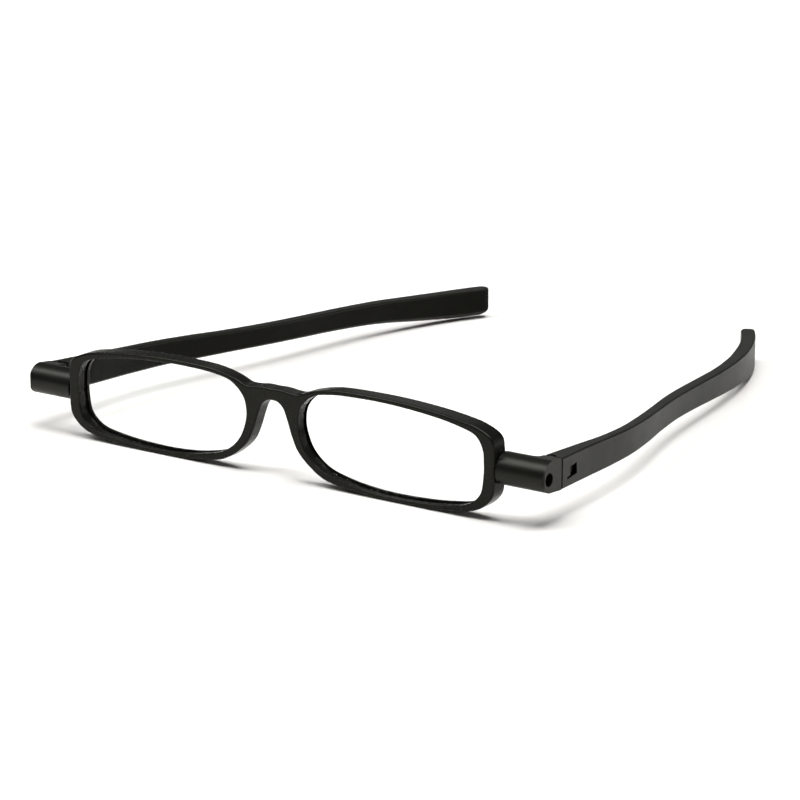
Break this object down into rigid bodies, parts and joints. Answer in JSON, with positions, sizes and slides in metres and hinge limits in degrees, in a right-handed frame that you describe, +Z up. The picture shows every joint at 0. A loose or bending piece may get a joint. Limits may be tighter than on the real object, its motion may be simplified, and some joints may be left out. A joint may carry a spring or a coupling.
{
  "type": "folding reading glasses",
  "caption": "Slim rectangular reading glasses with clear lenses, swivelling end blocks and temples that fold flat behind the rims.",
  "frame": {"origin": "middle of the footprint, on the surface that the glasses rest on", "axes": "+X towards the picture's right-hand end of the front, -Y is the way the front faces, the temples run towards +Y, +Z up"},
  "size_m": [0.1384, 0.1484, 0.0225],
  "materials": {
    "frame": "satin black moulding with a faint olive cast",
    "block": "satin black moulding",
    "temple": "satin black moulding, finely matt on the outer face",
    "lens": "clear polished optical plastic",
    "steel": "plain turned steel",
    "black_steel": "blackened steel"
  },
  "bodies": {
    "front": {"front_frame": "frame", "lens_right": "lens", "lens_left": "lens", "swivel_axle_right": "steel", "swivel_axle_left": "steel", "swivel_screw_right": "black_steel", "swivel_screw_left": "black_steel"},
    "right_block": {"swivel_block_right": "block", "wave_washer_right": "steel", "hinge_pin_right": "steel"},
    "left_block": {"swivel_block_left": "block", "wave_washer_left": "steel", "hinge_pin_left": "steel"},
    "right_temple": {"temple_right": "temple", "hinge_tongue_right": "black_steel"},
    "left_temple": {"temple_left": "temple", "hinge_tongue_left": "black_steel"}
  },
  "joints": [
    {"name": "right_swivel", "type": "hinge", "parent": "front", "child": "right_block", "pos_m": [0.0575, -0.07185, 0.0109], "axis": [1, 0, 0], "range_deg": [0, 180]},
    {"name": "right_fold", "type": "hinge", "parent": "right_block", "child": "right_temple", "pos_m": [0.0659, -0.0666, 0.0108], "axis": [0, -0.0523, 0.9986], "range_deg": [0, 78]},
    {"name": "left_swivel", "type": "hinge", "parent": "front", "child": "left_block", "pos_m": [-0.0575, -0.07185, 0.0109], "axis": [1, 0, 0], "range_deg": [0, 180]},
    {"name": "left_fold", "type": "hinge", "parent": "left_block", "child": "left_temple", "pos_m": [-0.0659, -0.0666, 0.0108], "axis": [0, 0.0523, -0.9986], "range_deg": [0, 72]}
  ]
}
